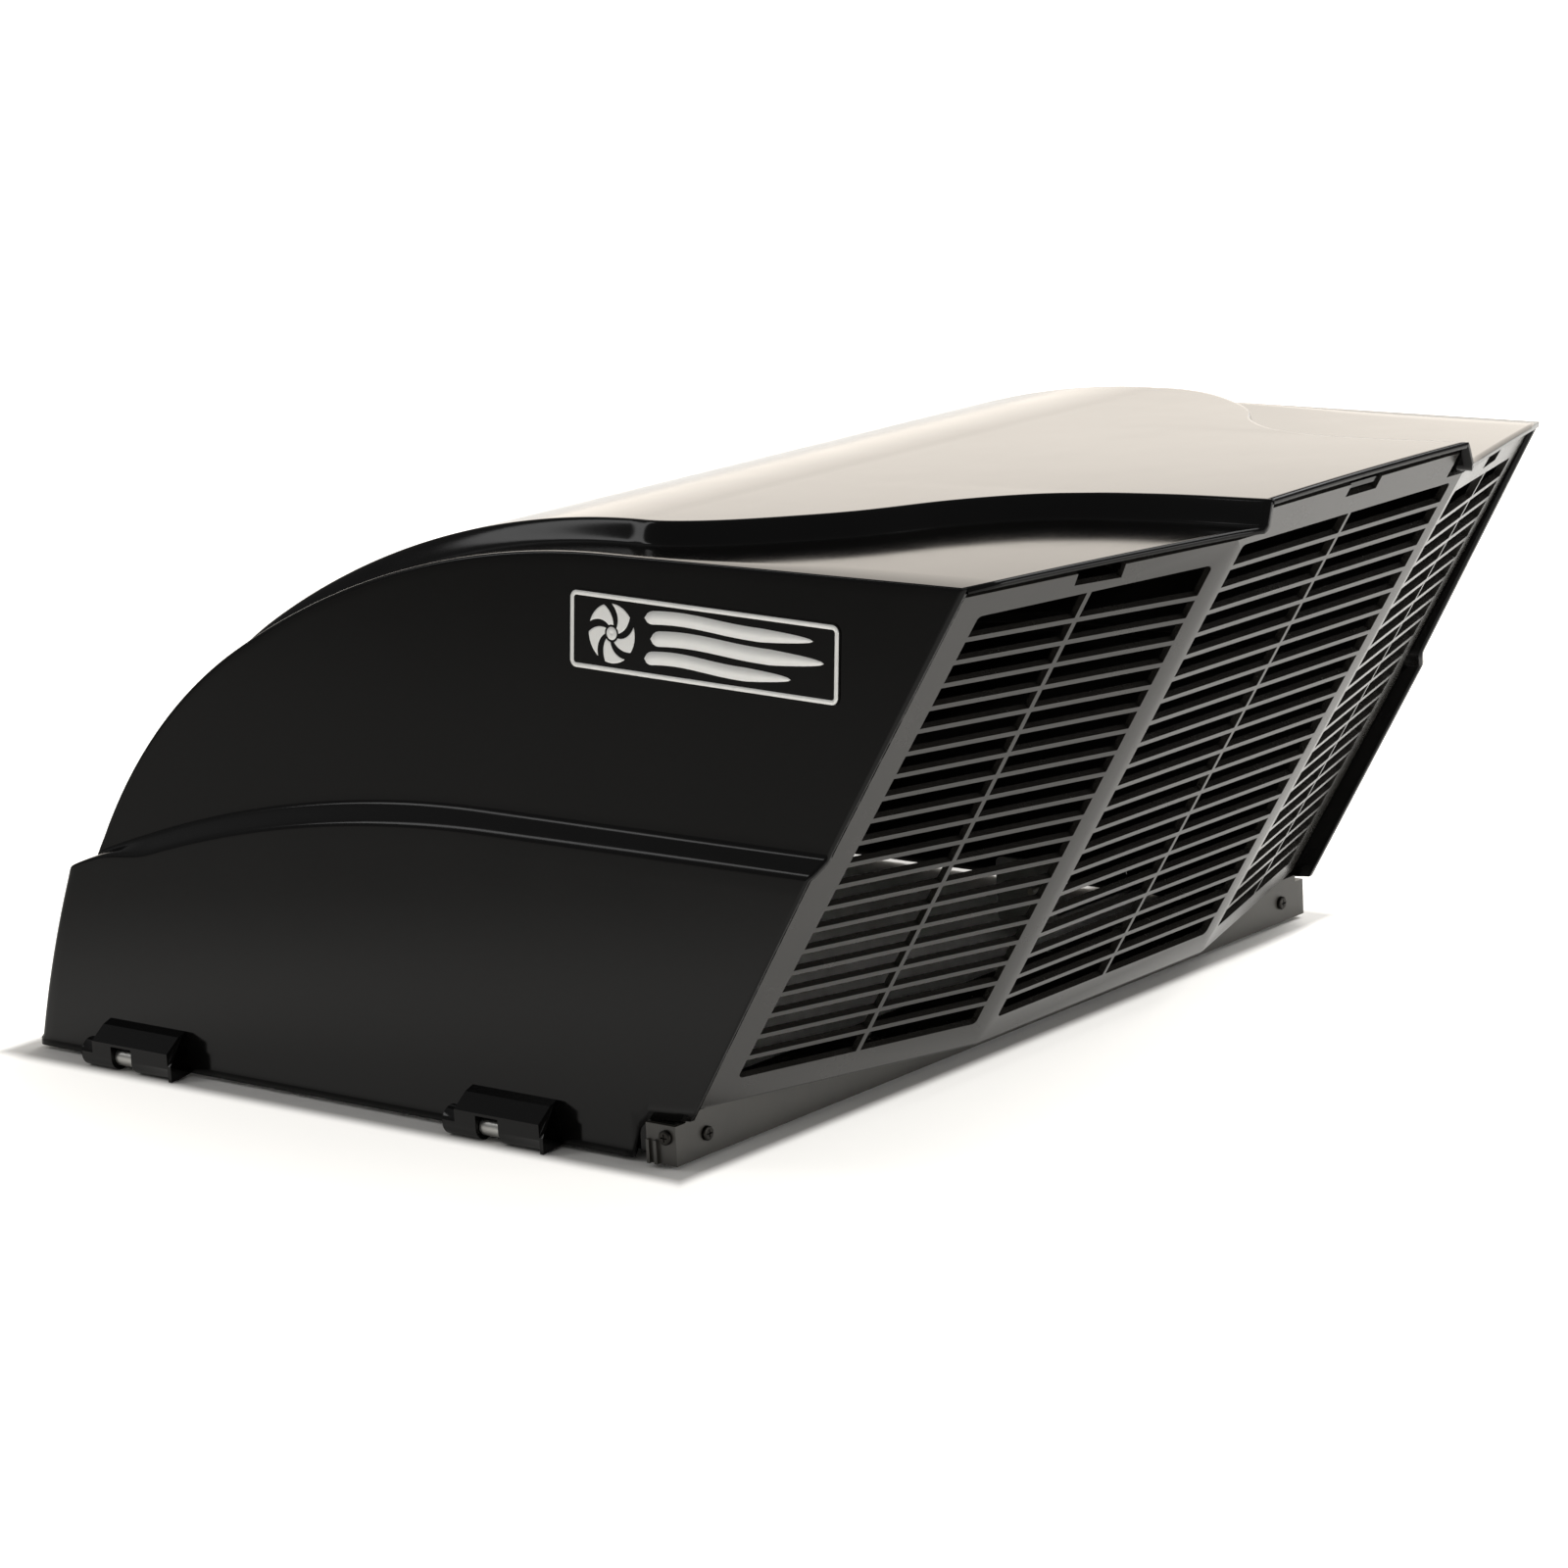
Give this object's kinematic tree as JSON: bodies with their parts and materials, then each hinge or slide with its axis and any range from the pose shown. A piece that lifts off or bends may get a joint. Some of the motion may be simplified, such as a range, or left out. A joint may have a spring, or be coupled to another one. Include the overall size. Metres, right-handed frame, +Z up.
{
  "type": "roof vent cover",
  "caption": "Black moulded rain cover for a caravan roof vent, with a raised roof, a sloping nose, a three-faced louvred rear grille and hinged mounting brackets on slide-out pins.",
  "frame": {"origin": "under the middle of the cover, level with the feet of the hinge barrels", "axes": "+X points to the louvred end, -X to the sloping nose that faces the direction of travel, +Y is the right-hand side seen facing the nose, +Z is up"},
  "size_m": [0.728, 0.616, 0.3365],
  "materials": {
    "cover_plastic": "polished black moulding",
    "sill_plastic": "satin dark moulding",
    "zinc_steel": "zinc plated",
    "bracket_steel": "bead blasted stainless steel",
    "label_film": "printed vinyl film"
  },
  "bodies": {
    "cover": {"hood_shell": "cover_plastic", "rear_sill": "sill_plastic", "rear_grille": "cover_plastic", "sill_screws": "zinc_steel", "floor_screws": "zinc_steel", "side_label_left": "label_film", "side_label_right": "label_film"},
    "bracket_rear_left": {"bracket_rear_left": "bracket_steel", "bracket_bolts_rear_left": "zinc_steel", "bracket_washers_rear_left": "zinc_steel"},
    "pin_rear_left": {"clip_pin_rear_left": "zinc_steel"},
    "bracket_rear_right": {"bracket_rear_right": "bracket_steel", "bracket_bolts_rear_right": "zinc_steel", "bracket_washers_rear_right": "zinc_steel"},
    "pin_rear_right": {"clip_pin_rear_right": "zinc_steel"},
    "bracket_front_left": {"bracket_front_left": "bracket_steel", "bracket_bolts_front_left": "zinc_steel", "bracket_washers_front_left": "zinc_steel"},
    "pin_front_left": {"clip_pin_front_left": "zinc_steel"},
    "bracket_front_right": {"bracket_front_right": "bracket_steel", "bracket_bolts_front_right": "zinc_steel", "bracket_washers_front_right": "zinc_steel"},
    "pin_front_right": {"clip_pin_front_right": "zinc_steel"}
  },
  "joints": [
    {"name": "bracket_hinge_rear_left", "type": "hinge", "parent": "cover", "child": "bracket_rear_left", "pos_m": [-0.002, -0.3, 0.008], "axis": [-1, 0, 0], "range_deg": [0, 95]},
    {"name": "pin_slide_rear_left", "type": "slide", "parent": "cover", "child": "pin_rear_left", "axis": [-1, 0, 0], "range_m": [0, 0.07]},
    {"name": "bracket_hinge_rear_right", "type": "hinge", "parent": "cover", "child": "bracket_rear_right", "pos_m": [-0.002, 0.3, 0.008], "axis": [1, 0, 0], "range_deg": [0, 95]},
    {"name": "pin_slide_rear_right", "type": "slide", "parent": "cover", "child": "pin_rear_right", "axis": [-1, 0, 0], "range_m": [0, 0.07]},
    {"name": "bracket_hinge_front_left", "type": "hinge", "parent": "cover", "child": "bracket_front_left", "pos_m": [-0.279, -0.3, 0.008], "axis": [-1, 0, 0], "range_deg": [0, 95]},
    {"name": "pin_slide_front_left", "type": "slide", "parent": "cover", "child": "pin_front_left", "axis": [-1, 0, 0], "range_m": [0, 0.07]},
    {"name": "bracket_hinge_front_right", "type": "hinge", "parent": "cover", "child": "bracket_front_right", "pos_m": [-0.279, 0.3, 0.008], "axis": [1, 0, 0], "range_deg": [0, 95]},
    {"name": "pin_slide_front_right", "type": "slide", "parent": "cover", "child": "pin_front_right", "axis": [-1, 0, 0], "range_m": [0, 0.07]}
  ]
}
